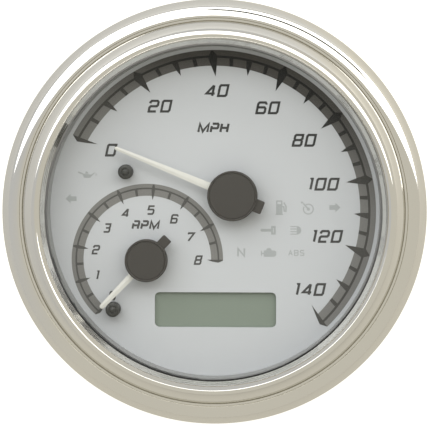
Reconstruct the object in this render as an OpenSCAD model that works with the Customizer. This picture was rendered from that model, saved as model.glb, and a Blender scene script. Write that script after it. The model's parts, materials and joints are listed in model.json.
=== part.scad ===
// Round motorcycle instrument cluster: speedometer and tachometer behind one lens.
// The dial faces +Z and 12 o'clock is +Y. The origin is the centre of the seating
// plane, where the cluster's gasket meets the dash. All sizes are in millimetres.

/* [Bezel] */
// Outer diameter of the bezel
bezel_d = 127; // [126.6:0.1:129]
// Height of the bezel's crest above the dash
bezel_h = 13; // [12.8:0.1:13.6]
// Thickness of the bezel's sheet metal
bezel_sheet = 0.8; // [0.6:0.1:0.9]

/* [Housing] */
// Diameter of the barrel that passes through the dash
barrel_d = 116; // [115:0.5:117]
// Depth of the barrel below the dash
barrel_depth = 30; // [28:1:34]
// Height of the mounting bosses on the back
boss_h = 4; // [4:0.5:8]
// Diameter of the circle of mounting bosses
boss_pcd = 80; // [78:1:84]

/* [Lens and dial] */
// Radius of the dial opening inside the spacer ring
dial_opening_r = 49.7; // [49:0.1:50]
// Height of the lens's front face above the dash
lens_top = 9; // [8.8:0.1:9.2]
// Thickness of the lens
lens_t = 2; // [1.5:0.1:2.2]
// Thickness of the printed dial face
dial_t = 1; // [0.8:0.1:1.2]

/* [Pointers] */
// Length of the speed pointer from its axis to its tip
speed_reach = 38.2; // [34:0.1:38.4]
// Length of the rpm pointer from its axis to its tip
rpm_reach = 20; // [16:0.1:20.2]
// Radius of the speed pointer's cap
speed_cap_r = 7.5; // [6:0.1:8]
// Radius of the rpm pointer's cap
rpm_cap_r = 6.4; // [5:0.1:7]
// Direction in which the speed pointer rests, in degrees from +X
speed_rest = 157.8; // [157:0.1:159]
// Direction in which the rpm pointer rests, in degrees from +X
rpm_rest = 226.1; // [224:0.1:226.1]

/* [Display] */
// Width of the display window in the dial
window_w = 36.7; // [30:0.1:38]
// Height of the display window in the dial
window_h = 10.6; // [8:0.1:11]

/* [Hidden] */
$fn = 96;

// Where things are on the dial, from its centre
speed_hub = [5.6, 4.85];
rpm_hub = [-20.3, -14.6];
speed_pin_at = [-26.6, 12.0];
rpm_pin_at = [-30.45, -29.5];
window_at = [0.3, -29.7];
telltales = [
    [-38.5, 11.1], [-43.3, 3.8], [20.1, 1.4], [28.2, 1.2], [36.2, 1.3],
    [16.3, -5.5], [24.5, -5.6], [8.1, -12.3], [16.5, -12.3], [24.7, -12.4]
];
connector_at = [7, -25];
speed_motor_turn = 60;
rpm_motor_turn = 150;

// Gear modules: idler to output shaft, and rotor to idler
module_out = 0.3;
module_in = 0.25;

// Levels along Z, from the lens down to the housing's floor
lens_bottom = lens_top - lens_t;
dial_bottom = -dial_t;
guide_bottom = dial_bottom - 2;
chassis_bottom = guide_bottom - 5;
board_t = 1.6;
board_bottom = chassis_bottom - board_t;
motor_depth = 10;
motor_bottom = board_bottom - motor_depth;
floor_t = 2.5;
boss_end = -barrel_depth - boss_h;

// The bezel's stepped section
bezel_r = bezel_d / 2;
crest_r = 52.7;
crest_round = 2;
flank_round = 10.4;
flank_from = 40;
flank_to = 68;
flat_z = bezel_h - 4.6;
outer_crest_r = 58.3;
outer_round = 5.2;
slope_round = 11.3;
slope_from = 36;
slope_to = 48;
lip_round = 0.45;
lip_end_r = 50.1;
seal_t = 0.6;
hem_z = 1.2;
hem_r = 60.6;
hem_round = 1.0;

// Rings that stack inside the housing
stack_r = 54.4;
housing_r = 55;
neck_r = barrel_d / 2 - 1.5;
lens_r = 52.6;
flange_r = bezel_r - bezel_sheet - 0.3;
flange_z = hem_z + bezel_sheet;
flange_t = 2.6;
board_r = 50.2;
boss_r = 6.5;
insert_hole_r = 2.1;
insert_r = 3.5;
insert_l = 8;

// Pointers
pointer_z = 3.2;
blade_t = 1;
cap_top = 5.6;
cap_bottom = 2.4;
hub_r = 2;
hub_bottom = 1.6;
shaft_r = 0.75;

// Gear trains
wheel_teeth = 48;
pinion_teeth = 8;
pressure = 25;
backlash = 0.04;
out_distance = module_out * (wheel_teeth + pinion_teeth) / 2;
in_distance = module_in * (wheel_teeth + pinion_teeth) / 2;
arbor_r = 0.4;
running_gap = 0.05;

// ---------- shared shapes ----------

module ring(r_in, r_out, z0, z1) {
    translate([0, 0, z0]) difference() {
        cylinder(r = r_out, h = z1 - z0);
        translate([0, 0, -1]) cylinder(r = r_in, h = z1 - z0 + 2);
    }
}

module disc(r, z0, z1) {
    translate([0, 0, z0]) cylinder(r = r, h = z1 - z0);
}

module rounded_square(w, h, r) {
    square([w - 2 * r, h], center = true);
    square([w, h - 2 * r], center = true);
    for (x = [-1, 1], y = [-1, 1])
        translate([x * (w / 2 - r), y * (h / 2 - r)]) circle(r = r, $fn = 48);
}

module plate(w, h, r, z0, z1) {
    translate([0, 0, z0]) linear_extrude(height = z1 - z0) rounded_square(w, h, r);
}

module block(w, h, z0, z1) {
    translate([-w / 2, -h / 2, z0]) cube([w, h, z1 - z0]);
}

module at(place) {
    translate([place[0], place[1], 0]) children();
}

// ---------- bezel, lens and dial ----------

// Points along an arc whose surface leans from one tilt to another, from flat towards vertical
function tilted(centre, r, from, to, steps) = [
    for (i = [0:steps])
        let (tilt = from + (to - from) * i / steps)
        centre + r * [sin(tilt), cos(tilt)]
];

// The polished face from the inner crest to the hem, at a depth below its surface
function bezel_skin(depth) =
    let (
        crest_c = [crest_r, bezel_h - crest_round],
        flank_c = crest_c + (crest_round - flank_round) * [sin(flank_from), cos(flank_from)],
        outer_c = [outer_crest_r, flat_z - outer_round],
        slope_c = outer_c + (outer_round - slope_round) * [sin(slope_from), cos(slope_from)],
        edge_round = (bezel_r - slope_c[0] - slope_round * sin(slope_to)) / (1 - sin(slope_to)),
        edge_c = slope_c + (slope_round - edge_round) * [sin(slope_to), cos(slope_to)],
        hem_c = [bezel_r - hem_round, hem_z + hem_round]
    )
    concat(
        tilted(crest_c, crest_round - depth, 0, flank_from, 8),
        tilted(flank_c, flank_round - depth, flank_from, flank_to, 8),
        tilted(outer_c, outer_round - depth, 0, slope_from, 8),
        tilted(slope_c, slope_round - depth, slope_from, slope_to, 4),
        tilted(edge_c, edge_round - depth, slope_to, 90, 6),
        tilted(hem_c, max(hem_round - depth, 0.1), 90, 180, 6)
    );

module bezel() {
    lip_c = [crest_r, bezel_h - lip_round];
    slope_end = [lip_end_r, lens_top + seal_t];
    inner_skin = bezel_skin(bezel_sheet);
    outside = concat([slope_end], tilted(lip_c, lip_round, -70, -5, 5), bezel_skin(0), [[hem_r, hem_z]]);
    inside = concat(
        [[hem_r, hem_z + bezel_sheet]],
        [for (i = [len(inner_skin) - 1:-1:0]) inner_skin[i]],
        [[lip_end_r + 1, lens_top + seal_t]]
    );
    color("silver") rotate_extrude($fn = 180) polygon(concat(outside, inside));
}

module lens_seal() {
    color("black") ring(lip_end_r - 0.3, stack_r - 0.2, lens_top, lens_top + seal_t);
}

module lens() {
    color([0.9, 0.95, 1, 0.3]) disc(lens_r, lens_bottom, lens_top);
}

// A C-shaped ring: it presses the dial down, carries the lens and hides the stack's edge
module spacer_ring() {
    rim_r = lens_r + 0.2;
    wall_r = dial_opening_r + 1.7;
    foot_t = 1.6;
    color("gray") rotate_extrude() polygon([
        [dial_opening_r, 0], [stack_r, 0], [stack_r, foot_t], [wall_r, foot_t],
        [wall_r, lens_bottom - foot_t], [stack_r, lens_bottom - foot_t],
        [stack_r, lens_top], [rim_r, lens_top], [rim_r, lens_bottom],
        [dial_opening_r, lens_bottom]
    ]);
}

module dial_face() {
    color("white") difference() {
        disc(stack_r, dial_bottom, 0);
        for (hub = [speed_hub, rpm_hub]) at(hub) disc(1.5, dial_bottom - 1, 1);
        for (pin = [speed_pin_at, rpm_pin_at]) at(pin) disc(1, dial_bottom - 1, 1);
        at(window_at) plate(window_w, window_h, 1.5, dial_bottom - 1, 1);
    }
}

// A pointer rest: a domed button on a stem that is pushed into the light guide
module stop_pin(place) {
    head_r = 2.2;
    head_h = 3.7;
    crown = 0.5;
    color("black") at(place) {
        disc(1, guide_bottom, 0.5);
        disc(head_r, 0, head_h);
        disc(head_r - crown, head_h, head_h + crown);
    }
}

module speed_stop_pin() { stop_pin(speed_pin_at); }
module rpm_stop_pin() { stop_pin(rpm_pin_at); }

// ---------- pointers ----------

// A tapered blade with a round tip, and the hub that is pressed on the output shaft
module pointer_blade(hub, turn, reach, root_w, tip_w, cap_r) {
    color("ivory") at(hub) rotate([0, 0, turn]) difference() {
        union() {
            disc(hub_r, hub_bottom, pointer_z + blade_t);
            translate([0, 0, pointer_z]) linear_extrude(height = blade_t) union() {
                polygon([
                    [0, -root_w / 2], [cap_r, -root_w / 2], [reach - tip_w / 2, -tip_w / 2],
                    [reach - tip_w / 2, tip_w / 2], [cap_r, root_w / 2], [0, root_w / 2]
                ]);
                translate([reach - tip_w / 2, 0]) circle(d = tip_w, $fn = 32);
            }
        }
        disc(shaft_r, 0, pointer_z + blade_t + 1);
    }
}

// A dark cap with a short square tail that balances the blade
module pointer_cap(hub, turn, cap_r, tail_w, tail_reach, root_w) {
    edge = 0.4;
    color("dimgray") at(hub) rotate([0, 0, turn]) difference() {
        union() {
            disc(cap_r, cap_bottom, cap_top - edge);
            translate([0, 0, cap_top - edge]) cylinder(r1 = cap_r, r2 = cap_r - edge, h = edge);
            translate([-tail_reach, -tail_w / 2, cap_bottom])
                cube([tail_reach, tail_w, cap_top - edge - cap_bottom]);
        }
        disc(hub_r, cap_bottom - 1, pointer_z + blade_t);
        translate([0, -root_w / 2, cap_bottom - 1])
            cube([cap_r + 1, root_w, pointer_z + blade_t - cap_bottom + 1]);
    }
}

speed_root_w = 2.3;
speed_tip_w = 1.05;
rpm_root_w = 2.0;
rpm_tip_w = 1.2;

module speed_pointer_blade() {
    pointer_blade(speed_hub, speed_rest, speed_reach, speed_root_w, speed_tip_w, speed_cap_r);
}

module speed_pointer_cap() {
    pointer_cap(speed_hub, speed_rest, speed_cap_r, 3.9, 9.8, speed_root_w);
}

module rpm_pointer_blade() {
    pointer_blade(rpm_hub, rpm_rest, rpm_reach, rpm_root_w, rpm_tip_w, rpm_cap_r);
}

module rpm_pointer_cap() {
    pointer_cap(rpm_hub, rpm_rest, rpm_cap_r, 3.1, 9.3, rpm_root_w);
}

// ---------- lighting ----------

lcd_w = 42.4;
lcd_h = 16.4;
lcd_wall = 1.6;
pocket_w = lcd_w + 2 * lcd_wall + 0.6;
pocket_h = lcd_h + 2 * lcd_wall + 0.6;
led_ring_r = 38;
led_angles = [for (i = [0:9]) i * 26 - 40];
rpm_led_angles = [for (i = [0:4]) i * 40 + 10];
rpm_led_r = 12;
screw_r = 1.5;
screw_ring_r = 47.5;
screw_angles = [for (i = [0:5]) i * 60 + 30];

module light_guide() {
    color([0.85, 0.95, 1, 0.6]) difference() {
        disc(stack_r, guide_bottom, dial_bottom);
        for (hub = [speed_hub, rpm_hub]) at(hub) disc(2.5, guide_bottom - 1, 0);
        for (pin = [speed_pin_at, rpm_pin_at]) at(pin) disc(1, guide_bottom - 1, 0);
        at(window_at) plate(pocket_w, pocket_h, 1, guide_bottom - 1, 0);
    }
}

// The white carrier: it holds the board and guide, and keeps each lamp's light apart
module light_housing() {
    channel_floor = chassis_bottom + 1.6;
    color("whitesmoke") difference() {
        disc(stack_r + 0.2, chassis_bottom, guide_bottom);
        ring(34, 42, channel_floor, guide_bottom + 1);
        at(rpm_hub) ring(9.5, 14.5, channel_floor, guide_bottom + 1);
        for (a = led_angles)
            rotate([0, 0, a]) at([led_ring_r, 0]) disc(2, chassis_bottom - 1, channel_floor + 1);
        for (a = rpm_led_angles)
            at(rpm_hub) rotate([0, 0, a]) at([rpm_led_r, 0])
                disc(2, chassis_bottom - 1, channel_floor + 1);
        for (lamp = telltales) at(lamp) disc(2.6, chassis_bottom - 1, guide_bottom + 1);
        for (hub = [speed_hub, rpm_hub]) at(hub) disc(4, chassis_bottom - 1, guide_bottom + 1);
        at(window_at) plate(pocket_w, pocket_h, 1, chassis_bottom - 1, guide_bottom + 1);
        for (a = screw_angles)
            rotate([0, 0, a]) at([screw_ring_r, 0]) disc(1.2, chassis_bottom - 1, guide_bottom - 1);
    }
}

// ---------- display ----------

module lcd_glass() {
    color("darkseagreen") at(window_at) block(lcd_w, lcd_h, guide_bottom - 0.1, dial_bottom - 0.2);
}

module lcd_backlight() {
    color("honeydew") at(window_at)
        block(lcd_w - 4, 11.6, chassis_bottom + 1.4, guide_bottom - 0.1);
}

module lcd_frame() {
    color("dimgray") at(window_at) difference() {
        plate(lcd_w + 2 * lcd_wall, lcd_h + 2 * lcd_wall, 0.8, chassis_bottom, dial_bottom - 0.1);
        block(lcd_w, lcd_h, chassis_bottom - 1, 0);
    }
}

module lcd_contact_strips() {
    color("hotpink") at(window_at) for (side = [-1, 1])
        translate([0, side * (lcd_h / 2 - 1.1), 0])
            block(lcd_w - 4, 1.8, chassis_bottom, guide_bottom - 0.1);
}

// ---------- circuit board and what is on it ----------

pin_pitch = 3.2;
pin_rows = 4.4;
pin_places = [
    for (col = [0:5], row = [-1, 1])
        connector_at + [(col - 2.5) * pin_pitch, row * pin_rows / 2]
];
peg_places = [[-7, 7], [18, -7]];

module on_motor(hub, turn) {
    at(hub) rotate([0, 0, turn]) children();
}

module for_motors() {
    on_motor(speed_hub, speed_motor_turn) children();
    on_motor(rpm_hub, rpm_motor_turn) children();
}

module circuit_board() {
    color("darkgreen") difference() {
        disc(board_r, board_bottom, chassis_bottom);
        for_motors() {
            disc(1.5, board_bottom - 1, 0);
            for (peg = peg_places) at(peg) disc(0.95, board_bottom - 1, 0);
        }
        for (place = pin_places) at(place) disc(0.6, board_bottom - 1, 0);
        for (a = screw_angles)
            rotate([0, 0, a]) at([screw_ring_r, 0]) disc(1.6, board_bottom - 1, 0);
    }
}

module led_chip() {
    block(1.3, 2, chassis_bottom, chassis_bottom + 0.8);
}

module dial_leds() {
    color("lightyellow") {
        for (a = led_angles) rotate([0, 0, a]) at([led_ring_r, 0]) led_chip();
        for (a = rpm_led_angles)
            at(rpm_hub) rotate([0, 0, a]) at([rpm_led_r, 0]) led_chip();
    }
}

module telltale_leds() {
    color("orange") for (lamp = telltales) at(lamp) led_chip();
}

// A square chip with a row of gull-wing legs on each side
module microcontroller() {
    body_w = 12;
    leg_pitch = 1;
    color("black") at([33, 6]) {
        block(body_w, body_w, board_bottom - 1.5, board_bottom - 0.1);
        for (turn = [0:90:270], i = [-5:5])
            rotate([0, 0, turn]) translate([body_w / 2 + 0.5, i * leg_pitch, 0])
                block(1.2, 0.4, board_bottom - 0.3, board_bottom);
    }
}

module board_capacitors() {
    color("slategray") for (place = [[32, -16], [24, -14], [-4, 34]])
        at(place) {
            block(6.6, 6.6, board_bottom - 0.8, board_bottom);
            disc(3.1, board_bottom - 8, board_bottom - 0.8);
        }
}

module voltage_regulator() {
    color("black") at([-14, 30]) {
        block(10, 9, board_bottom - 4.4, board_bottom - 0.2);
        translate([0, 6, 0]) block(9, 3, board_bottom - 1.2, board_bottom);
        for (i = [-1, 1]) translate([i * 2.5, -6, 0]) block(1, 3.2, board_bottom - 1, board_bottom);
    }
}

// Pan-head self-tapping screws that hold the board to the light housing
module board_screws() {
    head_r = 2.7;
    head_h = 1.9;
    color("silver") for (a = screw_angles)
        rotate([0, 0, a]) at([screw_ring_r, 0]) difference() {
            union() {
                disc(1.2, board_bottom, guide_bottom - 1.2);
                disc(head_r, board_bottom - head_h, board_bottom);
            }
            for (turn = [0, 90]) rotate([0, 0, turn])
                block(3, 0.6, board_bottom - head_h - 1, board_bottom - head_h + 1);
        }
}

// ---------- gauge motors ----------

// Short involute teeth: one tooth's points, counted from its root to its root
function involute(base_r, a) = base_r * [cos(a) + a * PI / 180 * sin(a), sin(a) - a * PI / 180 * cos(a)];

function turned(p, a) = [p[0] * cos(a) - p[1] * sin(a), p[0] * sin(a) + p[1] * cos(a)];

function flank(teeth, m) =
    let (
        pitch_r = m * teeth / 2,
        base_r = pitch_r * cos(pressure),
        tip_r = pitch_r + 0.7 * m,
        root_r = pitch_r - 0.95 * m,
        start_r = max(base_r, root_r),
        inv = function(a) tan(a) - a * PI / 180,
        half = 90 / teeth - backlash / pitch_r * 180 / PI / 2,
        to_axis = -half - inv(pressure) * 180 / PI,
        roll = function(r) sqrt(pow(r / base_r, 2) - 1) * 180 / PI
    )
    concat(
        root_r < base_r ? [turned([root_r, 0], to_axis)] : [],
        [for (i = [0:3])
            turned(involute(base_r, roll(start_r + (tip_r - start_r) * i / 3)), to_axis)]
    );

module gear(teeth, m, z0, z1) {
    side = flank(teeth, m);
    tooth = concat(side, [for (i = [len(side) - 1:-1:0]) [side[i][0], -side[i][1]]]);
    translate([0, 0, z0]) linear_extrude(height = z1 - z0)
        polygon([for (k = [0:teeth - 1], p = tooth) turned(p, k * 360 / teeth)]);
}

case_t = 0.8;
wall_t = 1;
case_from = -9.2;
case_to = 20.6;
case_w = 18.8;
case_mid = (case_from + case_to) / 2;
case_l = case_to - case_from;
cavity_top = board_bottom - case_t;
cavity_bottom = motor_bottom + case_t;
pivot_l = 0.45;
idler_at = [out_distance, 0];
rotor_at = [out_distance + in_distance, 0];
coil_y = 6;
coil_r = 1.9;
coil_z = cavity_bottom + 2.1;

// Layers of the train: output wheel on top, idler wheel below it, magnet at the bottom
wheel_a = [cavity_top - 2, cavity_top - 0.8];
wheel_b = [cavity_top - 4, cavity_top - 2.8];
magnet = [cavity_bottom + 0.4, cavity_bottom + 3.4];

module motor_case(hub, turn) {
    color("whitesmoke") on_motor(hub, turn) difference() {
        translate([case_mid, 0, 0]) plate(case_l, case_w, 2, motor_bottom, cavity_top);
        translate([case_mid, 0, 0])
            plate(case_l - 2 * wall_t, case_w - 2 * wall_t, 1, cavity_bottom, cavity_top + 1);
        disc(0.5 + running_gap, cavity_bottom - pivot_l - 0.1, cavity_bottom + 1);
        for (place = [idler_at, rotor_at])
            at(place) disc(arbor_r + running_gap, cavity_bottom - pivot_l - 0.1, cavity_bottom + 1);
    }
}

module motor_cover(hub, turn) {
    color("gainsboro") on_motor(hub, turn) difference() {
        union() {
            translate([case_mid, 0, 0]) plate(case_l, case_w, 2, cavity_top, board_bottom);
            disc(1.4, board_bottom, chassis_bottom - 0.4);
            for (peg = peg_places) at(peg) disc(0.9, board_bottom, chassis_bottom - 0.2);
        }
        disc(shaft_r + running_gap, cavity_top - 1, 0);
        for (place = [idler_at, rotor_at])
            at(place) disc(arbor_r + running_gap, cavity_top - 1, cavity_top + pivot_l + 0.1);
    }
}

// A soft-iron plate: a ring round the magnet and an arm through each coil
module motor_stator(hub, turn) {
    arm = 1.6;
    color("lightsteelblue") on_motor(hub, turn) difference() {
        union() {
            at(rotor_at) disc(4, coil_z - 0.6, coil_z + 0.6);
            translate([rotor_at[0], 0, 0])
                block(3, 2 * coil_y + arm, coil_z - 0.6, coil_z + 0.6);
            for (side = [-1, 1]) translate([rotor_at[0] / 2 + 0.5, side * coil_y, 0])
                block(rotor_at[0] - 1, arm, coil_z - 0.6, coil_z + 0.6);
        }
        at(rotor_at) disc(3, coil_z - 2, coil_z + 2);
    }
}

module motor_coils(hub, turn) {
    coil_l = 8;
    color("peru") on_motor(hub, turn) for (side = [-1, 1])
        difference() {
            translate([3, side * coil_y, coil_z]) rotate([0, 90, 0]) cylinder(r = coil_r, h = coil_l);
            translate([3 + coil_l / 2, side * coil_y, 0])
                block(coil_l + 2, 1.6, coil_z - 0.6, coil_z + 0.6);
        }
}

module motor_rotor(hub, turn) {
    // A gap between two teeth faces the idler
    color("dimgray") on_motor(hub, turn) at(rotor_at) {
        rotate([0, 0, 180 + 180 / pinion_teeth])
            gear(pinion_teeth, module_in, wheel_b[0] - 0.3, wheel_b[1] + 0.3);
        disc(0.7, magnet[0], wheel_b[0]);
        disc(2.6, magnet[0], magnet[1]);
        disc(arbor_r, cavity_bottom - pivot_l, cavity_top + pivot_l);
    }
}

module motor_idler(hub, turn) {
    // A gap of the pinion faces the output wheel, and a tooth of the wheel faces the rotor
    color("khaki") on_motor(hub, turn) at(idler_at) {
        gear(wheel_teeth, module_in, wheel_b[0], wheel_b[1]);
        rotate([0, 0, 180 + 180 / pinion_teeth])
            gear(pinion_teeth, module_out, wheel_b[0], wheel_a[1] + 0.3);
        disc(arbor_r, cavity_bottom - pivot_l, cavity_top + pivot_l);
    }
}

module motor_output_gear(hub, turn) {
    color("khaki") on_motor(hub, turn) {
        gear(wheel_teeth, module_out, wheel_a[0], wheel_a[1]);
        disc(1.6, wheel_a[0] - 0.5, wheel_a[1]);
        disc(shaft_r, cavity_bottom + 0.3, pointer_z + blade_t - 0.2);
        disc(0.5, cavity_bottom - pivot_l, cavity_top);
    }
}

module speed_motor_case() { motor_case(speed_hub, speed_motor_turn); }
module speed_motor_cover() { motor_cover(speed_hub, speed_motor_turn); }
module speed_motor_stator() { motor_stator(speed_hub, speed_motor_turn); }
module speed_motor_coils() { motor_coils(speed_hub, speed_motor_turn); }
module speed_motor_rotor() { motor_rotor(speed_hub, speed_motor_turn); }
module speed_motor_idler() { motor_idler(speed_hub, speed_motor_turn); }
module speed_motor_output_gear() { motor_output_gear(speed_hub, speed_motor_turn); }
module rpm_motor_case() { motor_case(rpm_hub, rpm_motor_turn); }
module rpm_motor_cover() { motor_cover(rpm_hub, rpm_motor_turn); }
module rpm_motor_stator() { motor_stator(rpm_hub, rpm_motor_turn); }
module rpm_motor_coils() { motor_coils(rpm_hub, rpm_motor_turn); }
module rpm_motor_rotor() { motor_rotor(rpm_hub, rpm_motor_turn); }
module rpm_motor_idler() { motor_idler(rpm_hub, rpm_motor_turn); }
module rpm_motor_output_gear() { motor_output_gear(rpm_hub, rpm_motor_turn); }

// ---------- housing, connector and fastenings ----------

header_w = 26;
header_h = 15;
header_wall = 2;
header_base = -21.5;
header_mouth = boss_end + 0.5;
boss_angles = [45:90:315];
vent_at = [-24, 8];

module rear_housing() {
    rim_r = 55.9;
    rib_ring_r = boss_pcd / 2;
    chamfer = 1;
    color([0.12, 0.12, 0.13]) difference() {
        union() {
            rotate_extrude($fn = 180) polygon([
                [housing_r, flange_z + flange_t + 2.8], [rim_r, flange_z + flange_t + 2.8],
                [rim_r, flange_z + flange_t], [flange_r, flange_z + flange_t],
                [flange_r, flange_z], [neck_r, flange_z], [neck_r, 0],
                [barrel_d / 2, 0], [barrel_d / 2, -barrel_depth + chamfer],
                [barrel_d / 2 - chamfer, -barrel_depth], [0, -barrel_depth],
                [0, -barrel_depth + floor_t], [housing_r, -barrel_depth + floor_t],
                [housing_r, chassis_bottom - 2.5], [board_r + 0.8, chassis_bottom - 1.2],
                [board_r + 0.8, chassis_bottom], [housing_r, chassis_bottom]
            ]);
            ring(rib_ring_r - 0.9, rib_ring_r + 0.9, -barrel_depth - 2, -barrel_depth);
            for (a = boss_angles) rotate([0, 0, a]) {
                at([rib_ring_r, 0]) disc(boss_r, boss_end, -barrel_depth);
                at([rib_ring_r, 0]) disc(boss_r, -barrel_depth, boss_end + insert_l + 2);
            }
            for (a = [0:45:315]) rotate([0, 0, a])
                translate([rib_ring_r, -0.9, -barrel_depth - 2]) cube([14, 1.8, 2]);
        }
        for (a = boss_angles) rotate([0, 0, a]) at([rib_ring_r, 0])
            disc(insert_r, boss_end - 1, boss_end + insert_l);
        at(connector_at) plate(header_w + 2, header_h + 2, 2, -barrel_depth - 1, -20);
        at(vent_at) disc(1.5, -barrel_depth - 1, -20);
        at(vent_at) disc(5, -barrel_depth - 1, -barrel_depth + 0.6);
    }
}

// Its tongue sits in the groove between the barrel and the flange
module dash_gasket() {
    tongue_r = neck_r + 0.1;
    inner_r = barrel_d / 2 + 0.1;
    outer_r = hem_r - 0.2;
    color([0.08, 0.08, 0.08]) rotate_extrude() polygon([
        [inner_r, 0], [outer_r, 0], [outer_r, flange_z],
        [tongue_r, flange_z], [tongue_r, flange_z / 2], [inner_r, flange_z / 2]
    ]);
}

module connector_header() {
    color("gray") at(connector_at) difference() {
        union() {
            plate(header_w, header_h, 1.5, header_mouth, header_base + 6);
            for (x = [-1, 1], y = [-1, 1])
                at([x * (header_w / 2 - 2), y * (header_h / 2 - 2)])
                    disc(1.5, header_base + 6, board_bottom);
        }
        plate(header_w - 2 * header_wall, header_h - 2 * header_wall, 1,
              header_mouth - 1, header_base);
        for (place = pin_places) at(place - connector_at)
            block(0.7, 0.7, header_base - 1, board_bottom);
    }
}

module connector_pins() {
    color("gold") for (place = pin_places) at(place) block(0.7, 0.7, header_base - 7, chassis_bottom);
}

module connector_seal() {
    color("orange") at(connector_at) difference() {
        plate(header_w + 2, header_h + 2, 2, -barrel_depth, -barrel_depth + floor_t);
        plate(header_w, header_h, 1.5, -barrel_depth - 1, -barrel_depth + floor_t + 1);
    }
}

module mounting_inserts() {
    color("goldenrod") for (a = boss_angles) rotate([0, 0, a]) at([boss_pcd / 2, 0])
        ring(insert_hole_r, insert_r, boss_end, boss_end + insert_l);
}

module breather_vent() {
    color("white") at(vent_at) disc(5, -barrel_depth, -barrel_depth + 0.6);
}

// ---------- the whole cluster ----------

bezel();
lens_seal();
lens();
spacer_ring();
dial_face();
speed_stop_pin();
rpm_stop_pin();
speed_pointer_blade();
speed_pointer_cap();
rpm_pointer_blade();
rpm_pointer_cap();
light_guide();
light_housing();
lcd_glass();
lcd_backlight();
lcd_frame();
lcd_contact_strips();
circuit_board();
dial_leds();
telltale_leds();
microcontroller();
board_capacitors();
voltage_regulator();
board_screws();
speed_motor_cover();
speed_motor_case();
speed_motor_stator();
speed_motor_coils();
speed_motor_rotor();
speed_motor_idler();
speed_motor_output_gear();
rpm_motor_cover();
rpm_motor_case();
rpm_motor_stator();
rpm_motor_coils();
rpm_motor_rotor();
rpm_motor_idler();
rpm_motor_output_gear();
rear_housing();
dash_gasket();
connector_header();
connector_pins();
connector_seal();
mounting_inserts();
breather_vent();
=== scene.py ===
import json
import math
from collections import namedtuple

import bmesh
import bpy
from mathutils import Matrix, Vector


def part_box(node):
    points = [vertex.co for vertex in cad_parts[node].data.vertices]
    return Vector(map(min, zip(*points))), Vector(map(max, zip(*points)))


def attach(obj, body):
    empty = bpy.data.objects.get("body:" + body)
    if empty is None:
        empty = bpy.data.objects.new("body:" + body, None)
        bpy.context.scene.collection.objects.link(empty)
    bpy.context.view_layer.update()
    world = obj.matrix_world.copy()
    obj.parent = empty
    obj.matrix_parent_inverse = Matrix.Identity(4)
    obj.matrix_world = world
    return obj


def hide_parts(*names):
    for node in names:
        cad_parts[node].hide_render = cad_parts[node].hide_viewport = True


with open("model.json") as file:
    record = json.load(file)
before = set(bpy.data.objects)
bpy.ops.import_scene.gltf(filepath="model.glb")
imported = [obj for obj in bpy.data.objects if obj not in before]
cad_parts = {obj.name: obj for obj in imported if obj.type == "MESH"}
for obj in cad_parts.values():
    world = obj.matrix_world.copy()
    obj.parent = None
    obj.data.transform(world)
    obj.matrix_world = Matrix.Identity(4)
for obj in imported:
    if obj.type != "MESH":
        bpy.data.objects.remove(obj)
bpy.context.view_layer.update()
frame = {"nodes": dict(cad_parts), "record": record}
NODES = frame["nodes"]
scene = bpy.context.scene
MM = 0.001

# ---------- places and levels, in millimetres ----------


def node_box(name):
    """Lowest and highest corner of a CAD node in millimetres."""
    low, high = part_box(name)
    return low / MM, high / MM


def node_middle(name):
    low, high = node_box(name)
    return Vector(((low.x + high.x) / 2, (low.y + high.y) / 2))


SPEED_HUB = Vector((5.6, 4.85))
RPM_HUB = Vector((-20.3, -14.6))
# The way each pointer aims at rest, in degrees from 3 o'clock
SPEED_REST = 157.8
RPM_REST = 226.1
SPEED_PIN = node_middle("speed_stop_pin")
RPM_PIN = node_middle("rpm_stop_pin")
BEZEL_LOW, BEZEL_HIGH = node_box("bezel")
DIAL_TOP = node_box("dial_face")[1].z


def direction(angle):
    return Vector((math.cos(math.radians(angle)), math.sin(math.radians(angle))))


# ---------- procedural materials ----------


def add(tree, kind, inputs=None, **settings):
    made = tree.nodes.new(kind)
    for key, value in settings.items():
        setattr(made, key, value)
    for key, value in (inputs or {}).items():
        if isinstance(value, bpy.types.NodeSocket):
            tree.links.new(value, made.inputs[key])
        else:
            made.inputs[key].default_value = value
    return made


def finish(name, color, rough=0.5, metal=0.0, mottle=0.05, cloud=300, relief=0.1, grain=1500,
           grain_kind="noise", uneven=0.08):
    """A finish with slow colour mottling, uneven roughness and a fine grain in its bump."""
    made = bpy.data.materials.new(name)
    made.use_nodes = True
    tree = made.node_tree
    shader = tree.nodes["Principled BSDF"]
    where = add(tree, "ShaderNodeTexCoord").outputs["Object"]
    clouds = add(tree, "ShaderNodeTexNoise", {"Vector": where, "Scale": cloud, "Detail": 4.0})
    mix = add(tree, "ShaderNodeMix", {0: clouds.outputs["Fac"]}, data_type="RGBA")
    mix.inputs[6].default_value = [c * (1 - mottle) for c in color] + [1]
    mix.inputs[7].default_value = [min(1, c * (1 + mottle)) for c in color] + [1]
    tree.links.new(mix.outputs[2], shader.inputs["Base Color"])
    spread = add(tree, "ShaderNodeMapRange", {
        "Value": clouds.outputs["Fac"], "To Min": max(0.02, rough - uneven), "To Max": rough + uneven
    })
    tree.links.new(spread.outputs["Result"], shader.inputs["Roughness"])
    shader.inputs["Metallic"].default_value = metal
    if relief:
        if grain_kind == "cells":
            fine = add(tree, "ShaderNodeTexVoronoi", {"Vector": where, "Scale": grain})
            height = fine.outputs["Distance"]
        else:
            fine = add(tree, "ShaderNodeTexNoise", {"Vector": where, "Scale": grain, "Detail": 3.0})
            height = fine.outputs["Fac"]
        bump = add(tree, "ShaderNodeBump", {"Height": height, "Strength": relief, "Distance": 0.0001})
        tree.links.new(bump.outputs["Normal"], shader.inputs["Normal"])
    return made


# The lens has a satin coat against glare, which reflects little and only on the side that light comes in
LENS_INDEX = 1.25
LENS_ROUGH = (0.22, 0.3)
LENS_TINT = (0.985, 0.99, 0.99, 1)


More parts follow.
